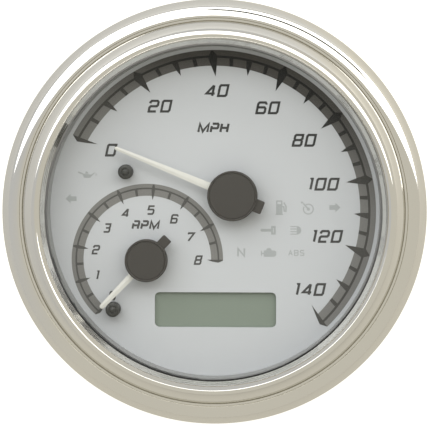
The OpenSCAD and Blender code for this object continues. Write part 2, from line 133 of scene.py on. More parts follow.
def clear_finish(name):
    """Clear plastic: what is behind shows through, and the surface reflects more at a slant."""
    made = bpy.data.materials.new(name)
    made.use_nodes = True
    tree = made.node_tree
    tree.nodes.remove(tree.nodes["Principled BSDF"])
    where = add(tree, "ShaderNodeTexCoord").outputs["Object"]
    haze = add(tree, "ShaderNodeTexNoise", {"Vector": where, "Scale": 40.0, "Detail": 3.0})
    rough = add(tree, "ShaderNodeMapRange", {
        "Value": haze.outputs["Fac"], "To Min": LENS_ROUGH[0], "To Max": LENS_ROUGH[1]
    })
    through = add(tree, "ShaderNodeBsdfTransparent", {"Color": LENS_TINT})
    shine = add(tree, "ShaderNodeBsdfGlossy", {"Roughness": rough.outputs["Result"]})
    side = add(tree, "ShaderNodeNewGeometry").outputs["Backfacing"]
    index = add(tree, "ShaderNodeMapRange", {"Value": side, "To Min": LENS_INDEX, "To Max": 1.0})
    slant = add(tree, "ShaderNodeFresnel", {"IOR": index.outputs["Result"]})
    mix = add(tree, "ShaderNodeMixShader", {
        0: slant.outputs["Fac"], 1: through.outputs["BSDF"], 2: shine.outputs["BSDF"]
    })
    tree.links.new(mix.outputs["Shader"], tree.nodes["Material Output"].inputs["Surface"])
    return made


def grade(made, toward, start, end, near=None, far=None):
    """Lets a finish change from its near to its far colour along a direction on the dial."""
    tree = made.node_tree
    where = add(tree, "ShaderNodeTexCoord").outputs["Object"]
    reach = add(tree, "ShaderNodeVectorMath", {0: where, 1: toward}, operation="DOT_PRODUCT")
    share = add(tree, "ShaderNodeMapRange", {
        "Value": reach.outputs["Value"], "From Min": start, "From Max": end
    })
    mix = next(node for node in tree.nodes if node.bl_idname == "ShaderNodeMix")
    tree.links.new(share.outputs["Result"], mix.inputs[0])
    if near:
        mix.inputs[6].default_value = near + (1,)
        mix.inputs[7].default_value = far + (1,)
    return made


def seal_finish_with_painted_light():
    """Black rubber with painted light: it turns grey towards the top of the dial."""
    black = finish("rubber", (0.13, 0.13, 0.13), rough=0.75, mottle=0.92, cloud=500, relief=0.4, grain=2500)
    # The grey towards the top is painted light on the seal, not a colour of the rubber.
    return grade(black, toward=(0, 1, 0), start=-0.03, end=0.035)


# The side of the dial, above and a little to the right, where painted shade makes the speed print darkest
PAINTED_SHADE_SIDE = (0.33, 0.944, 0)


def ink_with_painted_shade(name, near, far, start=0.016, end=0.042, gloss=0.15):
    """Ink of the speed scale and figures, darkened towards the top of the dial by painted shade; the ink
    itself is one even colour.
    """
    made = finish(name, near, rough=0.6, mottle=0.04, cloud=500, relief=0.04, grain=2500)
    made.node_tree.nodes["Principled BSDF"].inputs["Specular IOR Level"].default_value = gloss
    # The near colour turns into the darker far colour towards the top right: painted shade.
    return grade(made, PAINTED_SHADE_SIDE, start, end, near, far)


FINISH = {
    "bezel_chrome": finish("chrome", (0.785, 0.772, 0.73),
                           rough=0.05, metal=1, mottle=0.02, cloud=60, relief=0, uneven=0.02),
    # The seal's finish has painted light, grey towards the top of the dial.
    "seal_rubber": seal_finish_with_painted_light(),
    "lens_clear": clear_finish("lens"),
    "spacer_grey": finish("spacer", (0.30, 0.30, 0.295), rough=0.5, mottle=0.06, cloud=400, relief=0.15),
    "dial_white": finish("dial", (0.55, 0.562, 0.58),
                         rough=0.7, mottle=0.012, cloud=250, relief=0.06, grain=2500),
    "pin_black": finish("pin", (0.045, 0.045, 0.04), rough=0.5, mottle=0.1, cloud=600, relief=0.2),
    "pointer_white": finish("pointer", (0.69, 0.68, 0.635),
                            rough=0.5, mottle=0.02, cloud=500, relief=0.06),
    "cap_grey": finish("cap", (0.048, 0.043, 0.037),
                       rough=0.6, mottle=0.05, cloud=500, relief=0.08, grain=1200),
    "guide_clear": finish("guide", (0.7, 0.78, 0.8), rough=0.3, mottle=0.03),
    "carrier_white": finish("carrier", (0.7, 0.7, 0.68), rough=0.5),
    "lcd_face": finish("lcd", (0.225, 0.262, 0.218), rough=0.35, mottle=0.015, cloud=300, relief=0),
    "backlight_white": finish("backlight", (0.75, 0.76, 0.72), rough=0.4),
    "frame_black": finish("frame", (0.05, 0.055, 0.045), rough=0.5),
    "strip_pink": finish("strip", (0.75, 0.3, 0.4), rough=0.7, mottle=0.1, cloud=900),
    "board_green": finish("board", (0.015, 0.11, 0.04), rough=0.35, mottle=0.15, cloud=700, relief=0.2),
    "led_white": finish("led", (0.8, 0.78, 0.5), rough=0.3),
    "led_colour": finish("led_colour", (0.75, 0.75, 0.7), rough=0.3),
    "chip_black": finish("chip", (0.02, 0.02, 0.022), rough=0.5),
    "capacitor_can": finish("can", (0.6, 0.6, 0.62), rough=0.35, metal=1),
    "screw_steel": finish("screw", (0.5, 0.5, 0.5), rough=0.35, metal=1),
    "motor_white": finish("motor", (0.62, 0.62, 0.6), rough=0.5),
    "stator_steel": finish("stator", (0.35, 0.35, 0.36), rough=0.4, metal=1),
    "coil_copper": finish("coil", (0.6, 0.22, 0.08), rough=0.4, metal=1),
    "rotor_magnet": finish("magnet", (0.05, 0.05, 0.055), rough=0.45, metal=0.5),
    "gear_acetal": finish("gear", (0.7, 0.68, 0.6), rough=0.45),
    "housing_black": finish("housing", (0.018, 0.018, 0.02),
                            rough=0.55, mottle=0.15, cloud=250, relief=0.5, grain=1800, grain_kind="cells"),
    "header_grey": finish("header", (0.05, 0.05, 0.055), rough=0.5),
    "terminal_metal": finish("terminal", (0.75, 0.68, 0.5), rough=0.3, metal=1),
    "insert_brass": finish("brass", (0.62, 0.45, 0.16), rough=0.35, metal=1),
    "vent_white": finish("vent", (0.6, 0.6, 0.6), rough=0.8),
}
INKS = {
    # The band, line and text inks are darkened towards the top right by painted shade.
    "band": ink_with_painted_shade("ink_band", (0.215, 0.21, 0.20), (0.085, 0.08, 0.073)),
    "line": ink_with_painted_shade("ink_line", (0.085, 0.082, 0.076), (0.02, 0.02, 0.019)),
    "rpm_band": finish("ink_rpm_band", (0.205, 0.20, 0.19),
                       rough=0.5, mottle=0.03, cloud=500, relief=0.04, grain=2500),
    "rpm_line": finish("ink_rpm_line", (0.085, 0.083, 0.077),
                       rough=0.5, mottle=0.03, cloud=500, relief=0.04, grain=2500),
    "text": ink_with_painted_shade("ink_text", (0.053, 0.052, 0.05), (0.024, 0.024, 0.023),
                     start=0.018, end=0.03, gloss=0.5),
    "rpm_text": finish("ink_rpm_text", (0.07, 0.068, 0.065),
                       rough=0.5, mottle=0.04, cloud=500, relief=0.04, grain=2500),
    "faint": finish("ink_faint", (0.385, 0.40, 0.405),
                    rough=0.6, mottle=0.02, cloud=400, relief=0.04, grain=2500),
}
for row in frame["record"]["subparts"]:
    mesh = NODES[row["node"]].data
    mesh.materials.clear()
    mesh.materials.append(FINISH[row["material_slot"]])

# ---------- mesh tools ----------


def build(name, points, faces, material, body, crease=None):
    """A mesh piece from points in millimetres. With a crease angle, flatter edges are shaded smooth."""
    mesh = bpy.data.meshes.new(name)
    mesh.from_pydata([Vector(p) * MM for p in points], [], faces)
    shape = bmesh.new()
    shape.from_mesh(mesh)
    bmesh.ops.remove_doubles(shape, verts=shape.verts, dist=1e-7)
    bmesh.ops.recalc_face_normals(shape, faces=shape.faces)
    shape.to_mesh(mesh)
    shape.free()
    if crease is not None:
        mesh.polygons.foreach_set("use_smooth", [True] * len(mesh.polygons))
        mesh.set_sharp_from_angle(angle=math.radians(crease))
    mesh.materials.append(material)
    made = bpy.data.objects.new(name, mesh)
    scene.collection.objects.link(made)
    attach(made, body)
    return made


def lathe(name, profile, material, body, centre=(0, 0), steps=96, crease=30):
    """A closed (radius, z) outline turned about an upright line through centre."""
    count = len(profile)
    points, faces = [], []
    for step in range(steps):
        out = direction(360 * step / steps)
        points += [(centre[0] + r * out.x, centre[1] + r * out.y, z) for r, z in profile]
        after = (step + 1) % steps
        here, there = step * count, after * count
        for i in range(count):
            onward = (i + 1) % count
            faces.append((here + i, there + i, there + onward, here + onward))
    return build(name, points, faces, material, body, crease)


class Prisms:
    """Flat outlines that share one mesh, each raised between two levels.

    Three shapes in turn end a hair above each other, so that no two tops lie in one plane where they cross.
    SHARPEST limits how far a mitred corner reaches, as the cosine of half its turn.
    """

    HAIR = 0.003
    SHARPEST = 0.45

    def __init__(self):
        self.points, self.faces, self.shapes = [], [], 0

    def lifted(self, high):
        self.shapes += 1
        return high + self.HAIR * (self.shapes % 3)

    def outline(self, corners, low, high):
        """A flat shape inside a closed outline."""
        high = self.lifted(high)
        first, count = len(self.points), len(corners)
        self.points += [(x, y, low) for x, y in corners] + [(x, y, high) for x, y in corners]
        self.faces.append(tuple(first + i for i in range(count)))
        self.faces.append(tuple(first + count + i for i in range(count)))
        for i in range(count):
            after = (i + 1) % count
            self.faces.append((first + i, first + after, first + count + after, first + count + i))

    def ribbon(self, left, right, low, high, closed=False):
        """A flat band between two lines of as many points."""
        high = self.lifted(high)
        first, count = len(self.points), len(left)
        for level in (low, high):
            self.points += [(x, y, level) for x, y in left] + [(x, y, level) for x, y in right]
        links = count if closed else count - 1
        for i in range(links):
            after = (i + 1) % count
            a, b, c, d = first + i, first + after, first + count + after, first + count + i
            up = 2 * count
            self.faces += [(a, b, c, d), (a + up, b + up, c + up, d + up)]
            self.faces += [(a, b, b + up, a + up), (d, c, c + up, d + up)]
        if not closed:
            for i in (0, count - 1):
                a, d = first + i, first + count + i
                self.faces.append((a, d, d + 2 * count, a + 2 * count))

    def arc(self, centre, inner, outer, start, end, low, high, step=1.5):
        """A band round a centre, with a point every step degrees."""
        count = max(2, round(abs(end - start) / step) + 1)
        rays = [direction(start + (end - start) * i / (count - 1)) for i in range(count)]
        near = [centre + ray * inner for ray in rays]
        far = [centre + ray * outer for ray in rays]
        self.ribbon(near, far, low, high)

    def stroke(self, line, width, low, high, closed=False):
        """A pen line of an even width with mitred corners."""
        line = [Vector(p) for p in line]
        count = len(line)
        left, right = [], []
        for i, point in enumerate(line):
            before = line[i - 1] if i or closed else point - (line[1] - point)
            after = line[(i + 1) % count] if i < count - 1 or closed else point + (point - line[i - 1])
            into, onward = (point - before).normalized(), (after - point).normalized()
            across = Vector((-into.y - onward.y, into.x + onward.x)).normalized()
            reach = width / 2 / max(self.SHARPEST, across.dot(Vector((-into.y, into.x))))
            left.append(point + across * reach)
            right.append(point - across * reach)
        self.ribbon(left, right, low, high, closed)

    def piece(self, name, material, body="cluster"):
        return build(name, self.points, self.faces, material, body)


# ---------- bezel ----------

# The chrome section is a chain of arcs. Each runs from one radius and surface tilt to the next pair;
# a tilt below 0 leans inwards, 0 is level and 90 is upright. A repeated radius is a crease.
# SEAL_EDGE is where the chrome meets the seal, as a radius and a level. Fine ridges rise from it to the lip.
SEAL_EDGE = (50.1, 9.6)
INNER_RIDGES = 3
INNER_TOP_R, INNER_STEEP, INNER_SHALLOW = 51.3, -63.4, -55.4
LIP_JOINTS = [(51.3, -50), (52.5, -43), (52.75, 0), (52.83, 12), (53.75, 36)]
FLANK_JOINTS = [(53.75, 42), (56.66, 52)]
RING_JOINTS = [(58.3, 1), (58.68, 13), (61.1, 36), (61.25, 44), (63.42, 54), (63.5, 90)]
# The flat land lies LAND_DROP below the bezel's top. A groove in it has a radius, half a width and a depth.
# The bezel is a SHEET thick, and its hem is rolled in to HEM_R; no inner round is tighter than THINNEST.
LAND_DROP = 3.65
GROOVES = [(56.9, 0.15, 0.5), (57.75, 0.1, 0.25)]
HEM_ROUND, HEM_R, SHEET = 1.0, 60.6, 0.8
THINNEST = 0.02


def chain(joints, level, depth=0.0, steps=8):
    """Points of the arcs through the joints, a sheet depth below a skin that starts at a level."""
    points = []
    for (near, lean), (far, steep) in zip(joints, joints[1:]):
        start, end = math.radians(lean), math.radians(steep)
        radius = (far - near) / (math.sin(end) - math.sin(start))
        middle = (near - radius * math.sin(start), level - radius * math.cos(start))
        inner = max(radius - depth, THINNEST)
        for i in range(steps + 1):
            tilt = start + (end - start) * i / steps
            points.append((middle[0] + inner * math.sin(tilt), middle[1] + inner * math.cos(tilt)))
        level = middle[1] + radius * math.cos(end)
    return points, level


def bezel_skin(depth):
    """The outer face from the lip's top to the hem, a sheet depth below the surface."""
    lip, foot = chain(LIP_JOINTS[2:], BEZEL_HIGH.z, depth)
    flank, foot = chain(FLANK_JOINTS, foot, depth, 20)
    land = BEZEL_HIGH.z - LAND_DROP
    cuts = []
    if depth == 0:
        for middle, half, cut in GROOVES:
            cuts += [(middle - half, land), (middle, land - cut), (middle + half, land)]
    ring = chain(RING_JOINTS, land, depth)[0]
    hem = chain([(BEZEL_HIGH.x, 90), (BEZEL_HIGH.x - HEM_ROUND, 180)], BEZEL_LOW.z + HEM_ROUND, depth)[0]
    return lip + flank + cuts + ring + hem


def make_bezel():
    drop = chain(LIP_JOINTS[:3], 0)[1]
    rise = chain([(SEAL_EDGE[0], INNER_STEEP), (INNER_TOP_R, INNER_SHALLOW)], 0)[1]
    start = BEZEL_HIGH.z - drop - rise
    width = (INNER_TOP_R - SEAL_EDGE[0]) / INNER_RIDGES
    slope, level = [], start
    for ridge in range(INNER_RIDGES):
        near = SEAL_EDGE[0] + width * ridge
        part, level = chain([(near, INNER_STEEP), (near + width, INNER_SHALLOW)], level)
        slope += part
    lip = chain(LIP_JOINTS[:3], level)[0]
    outside = slope + lip + bezel_skin(0) + [(HEM_R, BEZEL_LOW.z)]
    inside = [(HEM_R, BEZEL_LOW.z + SHEET)] + bezel_skin(SHEET)[::-1] + [(SEAL_EDGE[0] + 1, SEAL_EDGE[1])]
    made = lathe("bezel_shell", outside + inside, FINISH["bezel_chrome"], "cluster", steps=256, crease=7)
    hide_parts("bezel")


make_bezel()

# ---------- printed dial ----------

# The levels of the printed layers, the lowest a hair clear of the dial
INK_GAP, INK_THICK = 0.004, 0.012
INK_LOW = DIAL_TOP + INK_GAP
BAND_TOP = INK_LOW + INK_THICK
LINE_TOP = BAND_TOP + INK_THICK
TICK_TOP = LINE_TOP + INK_THICK
PRINT = (INK_LOW, BAND_TOP)
ORIGIN = Vector((0, 0))


def along(hub, angle, radius):
    """Where the ray from hub at an angle meets the circle of that radius about the dial's centre."""
    ray = direction(angle)
    depth = hub.dot(ray)
    return hub + ray * (-depth + math.sqrt(depth * depth - hub.length_squared + radius * radius))


def spike(ink, hub, angle, centre, stations, low, high, sides):
    """A pointed mark on a ray from hub: stations are (radius about centre, half width)."""
    ray = direction(angle)
    across = Vector((-ray.y, ray.x))
    middles = [(centre + along(hub - centre, angle, radius), half) for radius, half in stations]
    one = [m + across * half * max(0, sides[0]) for m, half in middles]
    other = [m - across * half * max(0, -sides[1]) for m, half in middles]
    outline = one + [p for p in other[::-1] if min((p - q).length for q in one) > 1e-4]
    ink.outline(outline, low, high)


# Each scale band has its inner edge, the two edges of its dark line, and its outer edge
SPEED_BAND = (43.86, 46.25, 46.95, 48.6)
SPEED_ZERO, SPEED_STEP, TOP_SPEED = 159.3, 30.5 / 20, 140
LONG_SPIKE = [(40.6, 0), (43.9, 0.85), (46.7, 1.45), (48.5, 0.1)]
SHORT_SPIKE = [(42.0, 0), (43.9, 0.55), (46.6, 0.95)]


def speed_scale():
    start = SPEED_ZERO
    end = SPEED_ZERO - TOP_SPEED * SPEED_STEP
    inner, line_in, line_out, outer = SPEED_BAND
    band, line, ticks = Prisms(), Prisms(), Prisms()

    def band_ribbon(ink, near, far, low, high):
        angles = [start + (end - start) * i / TOP_SPEED for i in range(TOP_SPEED + 1)]
        left = [along(SPEED_HUB, a, near) for a in angles]
        right = [along(SPEED_HUB, a, far) for a in angles]
        ink.ribbon(left, right, low, high)

    band_ribbon(band, inner, outer, INK_LOW, BAND_TOP)
    band_ribbon(line, line_in, line_out, BAND_TOP, LINE_TOP)
    for speed in range(0, TOP_SPEED + 5, 5):
        angle = SPEED_ZERO - speed * SPEED_STEP
        sides = {0: (1, 0), TOP_SPEED: (0, -1)}.get(speed, (1, -1))
        low = BAND_TOP if speed % TOP_SPEED else INK_LOW
        if speed % 20 == 0:
            stations = LONG_SPIKE
        elif speed % 10 == 0:
            stations = SHORT_SPIKE
        else:
            stations = [(inner, 0.5), (line_in, 0.6)]
        spike(ticks, SPEED_HUB, angle, ORIGIN, stations, low, TICK_TOP, sides)
    band.piece("speed_band", INKS["band"])
    line.piece("speed_band_line", INKS["line"])
    ticks.piece("speed_ticks", INKS["line"])


RPM_BAND = (19.33, 21.3, 21.8, 22.95)
RPM_ZERO, RPM_STEP, TOP_RPM = 226.0, 28.22, 8
RPM_SPIKE = [(18.1, 0), (19.4, 0.33), (21.5, 0.58), (22.9, 0.2)]
END_SPIKE_WIDER = 1.6


def rpm_scale():
    start, end = RPM_ZERO, RPM_ZERO - TOP_RPM * RPM_STEP
    inner, line_in, line_out, outer = RPM_BAND
    band, line, ticks = Prisms(), Prisms(), Prisms()
    band.arc(RPM_HUB, inner, outer, start, end, INK_LOW, BAND_TOP)
    line.arc(RPM_HUB, line_in, line_out, start, end, BAND_TOP, LINE_TOP)
    last = 2 * TOP_RPM
    for half_step in range(last + 1):
        angle = RPM_ZERO - half_step * RPM_STEP / 2
        sides = {0: (1, 0), last: (0, -1)}.get(half_step, (1, -1))
        wide = 1 if half_step % last else END_SPIKE_WIDER
        low = BAND_TOP if half_step % last else INK_LOW
        if half_step % 2 == 0:
            stations = [(radius, half * wide) for radius, half in RPM_SPIKE]
        else:
            stations = [(inner, 0.36), (line_in, 0.4)]
        spike(ticks, RPM_HUB, angle, RPM_HUB, stations, low, TICK_TOP, sides)
    band.piece("rpm_band", INKS["rpm_band"])
    line.piece("rpm_band_line", INKS["rpm_line"])
    ticks.piece("rpm_ticks", INKS["rpm_line"])


speed_scale()
rpm_scale()

# Pen lines of each squared character in a cell one wide and one high, and whether each line is closed
GLYPHS = {
    "0": [([(0, 0), (0, 0.88), (0.12, 1), (1, 1), (1, 0.12), (0.88, 0)], True)],
    "1": [([(0.35, 0.96), (0.5, 1), (0.85, 1), (0.85, 0)], False)],
    "2": [([(0, 0.76), (0, 0.87), (0.14, 1), (0.87, 1), (1, 0.88), (1, 0.6), (0.87, 0.49), (0.14, 0.49),
            (0, 0.37), (0, 0), (0.9, 0)], False)],
    "3": [([(0.05, 1), (1, 1), (1, 0.62), (0.86, 0.51), (1, 0.4), (1, 0.12), (0.88, 0), (0, 0)], False),
          ([(0.3, 0.51), (0.86, 0.51)], False)],
    "4": [([(0.82, 0), (0.82, 1)], False), ([(0.8, 0.97), (0.04, 0.23), (1.08, 0.23)], False)],
    "5": [([(1, 1), (0.04, 1), (0, 0.57), (0.86, 0.57), (1, 0.45), (1, 0.12), (0.86, 0), (0, 0)], False)],
    "6": [([(1, 0.8), (1, 0.89), (0.88, 1), (0.14, 1), (0, 0.87), (0, 0), (0.87, 0), (1, 0.12), (1, 0.42),
            (0.87, 0.54), (0, 0.54)], False)],
    "7": [([(0, 0.84), (0.02, 1), (1, 1), (0.22, 0)], False)],
    "8": [([(0.16, 0.52), (0.04, 0.64), (0.04, 0.89), (0.16, 1), (1, 1), (1, 0.64), (0.86, 0.52)], True),
          ([(0.16, 0.52), (0, 0.4), (0, 0), (0.87, 0), (1, 0.12), (1, 0.4), (0.86, 0.52)], True)],
    "A": [([(0, 0), (0.5, 1), (1, 0)], False), ([(0.2, 0.35), (0.8, 0.35)], False)],
    "B": [([(0, 0), (0, 1), (0.85, 1), (1, 0.88), (1, 0.6), (0.85, 0.5), (1, 0.4), (1, 0.12),
            (0.85, 0)], True),
          ([(0, 0.5), (0.85, 0.5)], False)],
    "H": [([(0, 0), (0, 1)], False), ([(1, 0), (1, 1)], False), ([(0, 0.5), (1, 0.5)], False)],
    "M": [([(0, 0), (0, 0.97), (0.48, 0.06), (1, 0.97), (1, 0)], False)],
    "N": [([(0, 0), (0, 0.97), (1, 0.03), (1, 1)], False)],
    "P": [([(0, 0), (0, 0.72)], False),
          ([(0.06, 1), (0.88, 1), (1, 0.9), (1, 0.56), (0.86, 0.45), (0, 0.45)], False)],
    "R": [([(0, 0), (0, 0.72)], False),
          ([(0.06, 1), (0.88, 1), (1, 0.9), (1, 0.5), (0.9, 0.45), (0, 0.45)], False),
          ([(0.86, 0.5), (0.95, 0.4), (0.95, 0)], False)],
    "S": [([(1, 0.85), (0.85, 1), (0.15, 1), (0, 0.85), (0, 0.62), (0.15, 0.52), (0.85, 0.48), (1, 0.38),
            (1, 0.15), (0.85, 0), (0.15, 0), (0, 0.15)], False)],
}
SLANT = math.tan(math.radians(12))


# The size of a kind of lettering, with the share of its width that a narrow or wide character takes
Lettering = namedtuple("Lettering", "height width pen gap slant widths")
SPEED_FIGURES = Lettering(3.9, 3.12, 0.71, 0.66, SLANT, {"1": 0.6})
RPM_FIGURES = Lettering(2.9, 2.2, 0.54, 0.6, SLANT, {"1": 0.6})
SPEED_UNIT = Lettering(3.2, 2.65, 0.7, 0.3, SLANT, {"M": 1.28})
RPM_UNIT = Lettering(2.9, 2.3, 0.63, 0.34, SLANT, {"M": 1.3})
NEUTRAL_SIGN = Lettering(3.0, 2.45, 0.55, 0, 0, {})
BRAKE_SIGN = Lettering(1.8, 1.35, 0.3, 0.4, 0, {})


def write(ink, text, middle, kind):
    """Characters side by side, with their middle at a place on the dial."""
    sizes = [kind.widths.get(letter, 1) * kind.width for letter in text]
    total = sum(sizes) + kind.gap * (len(text) - 1)
    x = middle[0] - total / 2
    for letter, size in zip(text, sizes):
        for line, closed in GLYPHS[letter]:
            shown = []
            for u, v in line:
                up = (v - 0.5) * (kind.height - kind.pen)
                across = x + kind.pen / 2 + u * (size - kind.pen)
                shown.append((across + up * kind.slant, middle[1] + up))
            ink.stroke(shown, kind.pen, *PRINT, closed)
        x += size + kind.gap


# Where the middle of each figure is on the dial
SPEED_NUMBERS = {
    "0": (-31.14, 18.5), "20": (-16.38, 31.73), "40": (0.78, 36.39), "60": (16.08, 31.22),
    "80": (27.05, 21.48), "100": (32.62, 8.31), "120": (33.7, -7.41), "140": (28.62, -23.43),
}
RPM_NUMBERS = {
    "0": (-30.87, -25.54), "1": (-35.53, -19.34), "2": (-35.83, -11.62), "3": (-32.46, -5.04),
    "4": (-26.84, -0.44), "5": (-19.12, 0.41), "6": (-12.08, -2.24), "7": (-7.15, -7.71),
    "8": (-4.87, -14.68),
}


def dial_writing():
    speeds, rpms, speed_unit, rpm_unit = Prisms(), Prisms(), Prisms(), Prisms()
    for text, place in SPEED_NUMBERS.items():
        write(speeds, text, place, SPEED_FIGURES)
    for text, place in RPM_NUMBERS.items():
        write(rpms, text, place, RPM_FIGURES)
    write(speed_unit, "MPH", (-0.27, 25.2), SPEED_UNIT)
    write(rpm_unit, "RPM", (-20.71, -4.1), RPM_UNIT)
    speeds.piece("speed_numerals", INKS["text"])
    rpms.piece("rpm_numerals", INKS["rpm_text"])
    speed_unit.piece("speed_unit", INKS["text"])
    rpm_unit.piece("rpm_unit", INKS["rpm_text"])


dial_writing()

# ---------- telltale symbols ----------


def moved(points, place):
    return [(place[0] + x, place[1] + y) for x, y in points]


def oil_can(ink, place):
    """A can with its spout, handle, lid and drip."""
    can = [(-1.5, 0.35), (1.3, 0.0), (2.3, 0.75), (2.5, 0.6), (0.9, -1.0), (-0.9, -1.0)]
    ink.outline(moved(can, place), *PRINT)
    ink.stroke(moved([(-1.4, 0.25), (-2.7, 0.75)], place), 0.5, *PRINT)
    ink.outline(moved([(-0.6, 0.35), (0.4, 0.25), (0.1, 0.95), (-0.3, 0.95)], place), *PRINT)
    ink.stroke(moved([(2.75, 0.35), (2.75, -0.35)], place), 0.3, *PRINT)


def turn_arrow(ink, place, way):
    """A block arrow that points left or right."""
    half = [(-1.6, 0.72), (0.2, 0.72), (0.2, 1.45), (1.75, 0)]
    points = half + [(x, -y) for x, y in half[-2::-1]]
    ink.outline([(place[0] + way * x, place[1] + y) for x, y in points], *PRINT)


def fuel_pump(ink, place):
    """A pump with its window, foot and hose."""
    ink.stroke(moved([(-1.3, 2.0), (0.2, 2.0), (0.2, 0.9), (-1.3, 0.9)], place), 0.4, *PRINT, closed=True)
    ink.outline(moved([(-1.5, 0.7), (0.4, 0.7), (0.4, -1.9), (-1.5, -1.9)], place), *PRINT)
    ink.outline(moved([(-1.7, -1.9), (0.6, -1.9), (0.6, -2.2), (-1.7, -2.2)], place), *PRINT)
    hose = [(0.4, 0.35), (0.8, 0.3), (0.95, -1.0), (1.45, -1.1), (1.5, 0.4), (0.8, 1.6)]
    ink.stroke(moved(hose, place), 0.42, *PRINT)


def speed_holder(ink, place):
    """A small gauge with its hand, hub and a mark."""
    ink.arc(Vector(place), 1.3, 1.65, 120, -210, *PRINT, step=12)
    ink.stroke(moved([(-1.55, 1.75), (-0.1, 0.1)], place), 0.45, *PRINT)
    ink.arc(Vector(place), 0.02, 0.5, 0, 360, *PRINT, step=30)
    ink.outline(moved([(-2.35, 2.0), (-1.95, 2.4), (-1.5, 2.0), (-1.95, 1.6)], place), *PRINT)


def key(ink, place):
    """A key with its blade to the left."""
    ink.outline(moved([(-2.4, 0), (-2.0, 0.42), (0.9, 0.42), (0.9, -0.42), (-2.0, -0.42)], place), *PRINT)
    ink.stroke(moved([(1.2, 1.0), (2.0, 1.0), (2.0, -1.0), (1.2, -1.0)], place), 0.6, *PRINT, closed=True)


def high_beam(ink, place):
    """A lamp with four level rays."""
    turns = [math.radians(90 - 15 * i) for i in range(13)]
    ink.outline(moved([(0.2 + 1.4 * math.cos(t), 1.3 * math.sin(t)) for t in turns], place), *PRINT)
    for level in (-1.15, -0.4, 0.4, 1.15):
        ink.stroke(moved([(-1.7, level), (0.15, level)], place), 0.3, *PRINT)


def engine(ink, place):
    """An engine block with its shaft and fan."""
    block = [(-1.6, -1.3), (1.6, -1.3), (2.2, -0.8), (2.2, 0.3), (1.6, 0.6), (0.8, 0.6), (0.5, 1.3),
             (-0.6, 1.3), (-0.9, 0.6), (-1.6, 0.6)]
    ink.outline(moved(block, place), *PRINT)
    ink.stroke(moved([(-1.6, -0.3), (-2.35, -0.3)], place), 0.4, *PRINT)
    ink.stroke(moved([(-2.3, 0.5), (-2.3, -1.0)], place), 0.35, *PRINT)


def telltale_symbols():
    ink = Prisms()
    oil_can(ink, (-38.5, 11.1))
    turn_arrow(ink, (-43.3, 3.8), -1)
    turn_arrow(ink, (36.2, 1.3), 1)
    fuel_pump(ink, (20.1, 1.2))
    speed_holder(ink, (28.3, 0.8))
    key(ink, (16.2, -5.6))
    high_beam(ink, (24.6, -5.6))
    write(ink, "N", (8.1, -12.3), NEUTRAL_SIGN)
    engine(ink, (16.5, -12.3))
    write(ink, "ABS", (24.7, -12.4), BRAKE_SIGN)
    ink.piece("telltale_symbols", INKS["faint"])


telltale_symbols()

# ---------- pointers ----------

BLADE_LOW, BLADE_EDGE, BLADE_RIDGE = 3.2, 3.75, 3.95
CAP_LOW, CAP_HIGH, TAIL_HIGH = 2.4, 5.6, 5.0
CAP_EDGE, TAIL_CORNER, TAIL_BEVEL = 0.35, 0.25, 0.15
# How far round a rolled edge or a blade's tip each of its points lies, in radians
TIP_TURNS = (0.5, 0.95, 1.3)
EDGE_TURNS = (0.5, 1.0, 1.5)


def blade(name, hub, rest, reach, root, tip, taper, body, node_name):
    """A blade with a low ridge and a rounded tip, which starts to taper at the cap's rim."""
    ray, across = direction(rest), direction(rest + 90)
    sections = [(-1.0, root), (taper, root), (reach - tip / 2, tip)]
    sections += [(reach - tip / 2 * (1 - math.sin(a)), tip * math.cos(a)) for a in TIP_TURNS]
    points, faces = [], []
    for distance, width in sections:
        middle = hub + ray * distance
        sides = [middle - across * width / 2, middle + across * width / 2]
        ridge = BLADE_EDGE + (BLADE_RIDGE - BLADE_EDGE) * min(1, width / tip)
        points += [(p.x, p.y, BLADE_LOW) for p in sides]
        points += [(sides[1].x, sides[1].y, BLADE_EDGE), (middle.x, middle.y, ridge)]
        points.append((sides[0].x, sides[0].y, BLADE_EDGE))
    for i in range(len(sections) - 1):
        for k in range(5):
            after = (k + 1) % 5
            faces.append((i * 5 + k, i * 5 + after, i * 5 + 5 + after, i * 5 + 5 + k))
    last = 5 * (len(sections) - 1)
    faces += [tuple(range(5)), tuple(range(last, last + 5))]
    made = build(name, points, faces, FINISH["pointer_white"], body, 20)
    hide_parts(node_name)


def cap(name, hub, rest, radius, tail_w, tail_reach, body, node_name):
    """A slightly domed cap with a rolled edge and a fine ring groove, and the square tail under it."""
    low, high, edge = CAP_LOW, CAP_HIGH, CAP_EDGE
    profile = [(0.9, low), (radius - 0.15, low), (radius, low + 0.15), (radius, high - edge)]
    profile += [(radius - edge * (1 - math.cos(a)), high - edge + edge * math.sin(a)) for a in EDGE_TURNS]
    profile += [(radius - 0.5, high - 0.06), (radius - 0.6, high - 0.22), (radius - 0.75, high - 0.22)]
    profile += [(radius - 0.85, high - 0.06), (radius * 0.6, high - 0.02), (0.0, high), (0.0, high - 0.8)]
    made = lathe(name, profile, FINISH["cap_grey"], body, hub, crease=40)
    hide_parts(node_name)
    tail = Prisms()
    ray, across = direction(rest + 180), direction(rest + 90)
    soft = TAIL_CORNER
    corners = [(radius - 1, -tail_w / 2), (tail_reach - soft, -tail_w / 2), (tail_reach, -tail_w / 2 + soft),
               (tail_reach, tail_w / 2 - soft), (tail_reach - soft, tail_w / 2), (radius - 1, tail_w / 2)]
    tail.outline([hub + ray * u + across * v for u, v in corners], low, TAIL_HIGH)
    made = tail.piece(name + "_tail", FINISH["cap_grey"], body)
    bevel = made.modifiers.new("edge", "BEVEL")
    bevel.width = TAIL_BEVEL * MM
    bevel.segments = 2


def pin(name, place, node_name):
    """A domed button with a ring groove in its face."""
    profile = [(0.0, 0.3), (2.2, 0.3), (2.2, 3.55), (2.1, 3.75), (1.75, 3.95), (1.3, 4.0), (1.15, 3.8),
               (0.95, 3.8), (0.8, 4.05), (0.4, 4.15), (0.0, 4.18)]
    made = lathe(name, profile, FINISH["pin_black"], "cluster", place, steps=48, crease=50)
    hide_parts(node_name)


